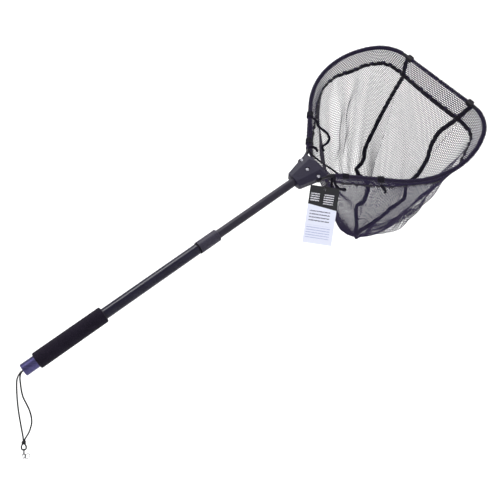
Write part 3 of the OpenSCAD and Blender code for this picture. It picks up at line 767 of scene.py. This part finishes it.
trims = {"left": [], "right": []}  # trims = {"left": [], "right": []} # the tapes and hems of each side
TAPE_THICK, RING_WIDE, CROSS_WIDE = 0.0011, 0.0100, 0.0105


def tape(name, s, t, across, tag, cad_node):
    o = ribbon(name, np.stack([s, t], -1), across, TAPE_THICK, M["binding"])
    with_arm(o, tag)
    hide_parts(cad_node)
    trims[tag].append(o)


n_ring, n_cross = 260, 270
mid_front = (S_LEFT + S_RIGHT) / 2
for tag, s0, s1 in (("left", 0.0, mid_front), ("right", mid_front, 1.0)):
    s = np.linspace(s0, s1, n_ring)
    tape(f"ring_tape_{tag}", s, np.full(n_ring, T_RING), RING_WIDE, tag, "ring_tape")
# How far each cross tape strays round the bag, at shares of the way down.
STRAY = {
    "left": ((0, 0.08, 0.20, 0.30, 0.40, 0.50, 0.57, 0.63, 0.70, 0.80, 0.84, 0.90, 1),
             (0, 0.008, -0.010, -0.024, -0.036, -0.052, -0.050, -0.085, 0, -0.005, -0.060, -0.050, 0)),
    "right": ((0, 0.08, 0.15, 0.22, 0.27, 0.36, 0.45, 0.50, 0.56, 0.65, 0.76, 0.88, 1),
              (0, -0.008, -0.020, -0.015, 0, 0.010, 0, 0.030, 0.020, 0, 0.015, 0, 0)),
}
for tag, s0 in (("left", S_LEFT), ("right", S_RIGHT)):
    t = np.linspace(0.004, 0.995, n_cross)
    s = s0 + soft(np.interp(t, *STRAY[tag]), 5)
    tape(f"cross_tape_{tag}", s, t, CROSS_WIDE, tag, f"{tag}_tape")


# ---------------------------------------------------------------- mesh hem round the arms and the front cord
def hem(name, path, radius, cell, mat):
    """Mesh wrapped round a path: strands of a hexagonal lattice laid on a tube."""
    run = run_of(path)
    t, a, b = frames_along(path, -EZ)
    rounds = max(5, round(2 * np.pi * radius / cell))
    side = cell / math.sqrt(3)
    rows = int(run[-1] / (1.5 * side))
    j, i = np.meshgrid(np.arange(rows), np.arange(rounds), indexing="ij")
    x, y = (i + 0.5 * (j % 2)).astype(float), j * 1.5 * side

    def at(xx, yy):
        ang = 2 * np.pi * xx / rounds
        c, aa, bb = (along(yy, run, row) for row in (path, a, b))
        r = radius * (1 + 0.10 * np.sin(yy * 610 + 3 * ang))[..., None]
        return c + r * (np.cos(ang)[..., None] * aa + np.sin(ang)[..., None] * bb)

    strands, out = [], []
    for x0, y0, x1, y1 in ((0, -0.5, 0, 0.5), (0, 0.5, -0.5, 1.0), (0, 0.5, 0.5, 1.0)):
        p, q = at(x + x0, y + y0 * side), at(x + x1, y + y1 * side)
        strands.append(np.stack([p, q], -2).reshape(-1, 2, 3))
        out.append(((p + q) / 2 - along(y, run, path)).reshape(-1, 3))
    return thread_mesh(name, np.concatenate(strands), THREAD, mat, np.concatenate(out))


HEM_CELL, ARM_HEM, CORD_HEM = 0.0038, 0.0046, 0.0036  # width of a cell, and radii of the two hems
for tag, sg in (("left", 1), ("right", -1)):
    d = np.linspace(0.036, ARM_LEN - 0.012, 300)
    o = hem(f"hem_{tag}", world(arm_at(d, sg)), ARM_HEM, HEM_CELL, M["mesh_thread"])
    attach(o, tag)
    trims[tag].append(o)

# ---------------------------------------------------------------- front cord, in two halves
CORD_R, TWIST = 0.0021, 260
ends = [arm_at(ARM_LEN, 1), arm_at(ARM_LEN, -1)]
for tag, k in (("left", 0), ("right", 1)):
    u = np.linspace(0, 1, 60)[:, None]
    mid = (ends[0] + ends[1]) / 2
    start = ends[k] + (mid - ends[k]) * 0.04
    path = world(start * (1 - u) + mid * u)
    v, f = tube(path, CORD_R, 12, -EZ, 0.10, TWIST if tag == "left" else -TWIST)
    o = mesh_piece(f"front_cord_{tag}", v, f, M["black_cord"])
    with_arm(o, tag)
    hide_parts("front_cord")
    h = hem(f"front_hem_{tag}", path, CORD_HEM, HEM_CELL, M["mesh_thread"])
    with_arm(h, tag)
    trims[tag].append(h)


# ---------------------------------------------------------------- lashings on the arms
def lashing(name, d, sg, tag, wire, turns=6, length=0.013, radius=0.0044):
    """Turns of tape wound round the arm."""
    u = np.linspace(0, 1, turns * 22)
    path = world(arm_at(d + length * u, sg))
    t, a, b = frames_along(path, -EZ)
    ang = 2 * np.pi * turns * u
    r = (radius + wire * 0.5 * (1 + 0.25 * np.sin(7 * ang)))[:, None]
    coil = path + r * (np.cos(ang)[:, None] * a + np.sin(ang)[:, None] * b)
    v, f = tube(coil, wire, 7, EX)
    o = mesh_piece(name, v, f, M["binding"])
    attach(o, tag)
    return o


# Distance of each lashing from the pivot, and the thickness of its tape.
LASHINGS = ((0.05136, 0.0014), (0.12336, 0.0020))
for tag, sg in (("left", 1), ("right", -1)):
    for k, (d, wire) in enumerate(LASHINGS):
        o = lashing(f"lashing_{tag}_{k}", d, sg, tag, wire)
        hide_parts(f"{tag}_ties")


# ---------------------------------------------------------------- loose tape ends, yoke cord
def strap(name, points, width, thick, face):
    """A flat tape end along a few points, its broad side towards face."""
    path = catmull(points, 8)
    t, a, b = frames_along(path, face)
    corners = ((-0.5, -0.5), (0.5, -0.5), (0.5, 0.5), (-0.5, 0.5))
    v = np.stack([path + a * thick * p + b * width * q for p, q in corners], 1)
    last = (len(path) - 1) * 4
    caps = [[3, 2, 1, 0], [last, last + 1, last + 2, last + 3]]
    f = np.concatenate([tube_faces(len(path), 4).reshape(-1, 4), caps])
    return mesh_piece(name, v.reshape(-1, 3), f, M["binding"], smooth=False)


def mm(*points):
    return 0.001 * np.array(points, float)


# The tape that zigzags down from the left arm: four points in the net's frame, then steps from the
# last of them to the right and down.
tangle = world(mm([101, 103, 3], [103, 92, 3], [104, 84, 0], [101, 78, -4]))
STEPS = mm([8, 8], [19, 17], [24, 29], [19, 38], [9, 46], [13, 56])
tangle = np.concatenate([tangle, [tangle[-1] + RIGHT * a - UP * b + BACK * 0.004 for a, b in STEPS]])
ENDS = (
    ("right", facing(mm([56, -5, -8], [56, -9, -16], [57, -10, -24], [63, -10, -33], [72, -9, -36],
                        [81, -8, -36]))),
    ("right", facing(mm([53, 4, -7], [53, 5, -14], [52, 4, -22], [52, 3, -31]))),
    ("right", world(mm([96, -118, 2], [98, -124, -3], [100, -130, -9], [99, -134, -16]))),
    ("left", tangle),
    ("left", world(mm([44, 44, 4], [50, 38, 5], [54, 33, 2], [55, 27, -4]))),
)
STRAP_WIDE, STRAP_THICK = 0.0055, 0.0009
for k, (tag, points) in enumerate(ENDS):
    o = strap(f"tape_end_{k}", points, STRAP_WIDE, STRAP_THICK, BACK)
    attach(o, tag)
    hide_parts(f"{tag}_ties")

YOKE_CORD = mm([40, 41, 1], [39, 27, -1], [41, 13, -4], [43.5, 0, -5], [46, -14, -5], [48, -30, -3],
               [47, -47, 1])
YOKE_CORD_R = 0.0020
across = catmull(world(YOKE_CORD), 10)
middle = len(across) // 2
for tag, part in (("left", across[:middle + 1]), ("right", across[middle:])):
    v, f = tube(part, YOKE_CORD_R, 8, EZ, 0.08, 300)
    o = mesh_piece(f"yoke_cord_{tag}", v, f, M["black_cord"])
    with_arm(o, tag)
    trims[tag].append(o)

# Each side's first panel takes that side's tapes and hems off the list.
for part, tag, o, area, flat in bag_pieces:
    on_it = trims.pop(tag, []) if part.startswith("panel") else []

# ---------------------------------------------------------------- hang tag and its string
STRING = mm([49.6, -4.2, -2.2], [49.6, -8, -3.6], [49, -9.4, -7.5], [48, -9.6, -11.5], [42.5, -17, -21],
            [38, -23.4, -29], [34.8, -23.9, -34.6], [34.3, -22, -37.3], [34.6, -20.2, -35.2],
            [36, -17, -30], [41, -10, -21], [47.5, -1.5, -12], [49.4, 1, -7.5], [49.6, -0.4, -3.6],
            [49.6, -2.6, -2.3])
STRING_D = 0.0012
string_course = facing(catmull(STRING, 8))
string = curve_piece("tag_loop", string_course, STRING_D, M["black_cord"])
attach(string, "tag")
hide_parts("tag_string")
list(string_course[0])
length_of(string_course)

# ---------------------------------------------------------------- lanyard
RIVET_X, BUTT_X = 0.570, -0.0985  # the middle rivet and the handle's lower end, from the grip's middle
MOUTH = RIVET - EX * (RIVET_X - BUTT_X)
ROUTE = mm([8, 1.5, 5], [0, 1.5, 0], [-5, 2, -4], [-9, 3, -11], [-11, 4, -21], [-10.5, 4, -45],
           [-8, 3, -72], [-3.5, 1.5, -100], [-0.5, 1, -118], [0, 1.4, -128], [-3, 1, -134],
           [-2.5, 0.5, -139], [1, 0, -141], [4.5, -0.5, -139], [4.5, -1, -134], [1.5, -1.4, -128],
           [3, -1.6, -121], [10, -4, -108], [14, -5, -90], [10, -4, -70], [-1, -1, -45],
           [-5, -1, -21], [-5.5, -1.5, -10], [-3.5, -1.5, -3.5], [0, -1.5, 0], [8, -1.5, 5])
LANYARD_D, PER_LEG = 0.0028, 8
course = MOUTH + catmull(ROUTE, PER_LEG)
lanyard = curve_piece("lanyard", course, LANYARD_D, M["lanyard_cord"])
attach(lanyard, "handle")
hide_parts("lanyard_cord")

KNOT_R, KNOT_HIGH, KNOT_TURNS, KNOT_CORD_R = 0.0029, 0.0046, 3.2, 0.00092
u = np.linspace(0, 1, 160)
ang = 2 * np.pi * KNOT_TURNS * u
wraps = np.stack([KNOT_R * np.cos(ang), KNOT_R * np.sin(ang), KNOT_HIGH * (0.5 - u)], -1)
v, f = tube(MOUTH + mm([0.7, 0, -128]) + wraps, KNOT_CORD_R, 8, UP)
knot = mesh_piece("lanyard_wrap", v, f, M["lanyard_cord"])
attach(knot, "handle")
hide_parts("lanyard_knot")
outside = course[PER_LEG:-PER_LEG]  # the first and last legs are inside the butt cap
list(outside[0])
length_of(outside)
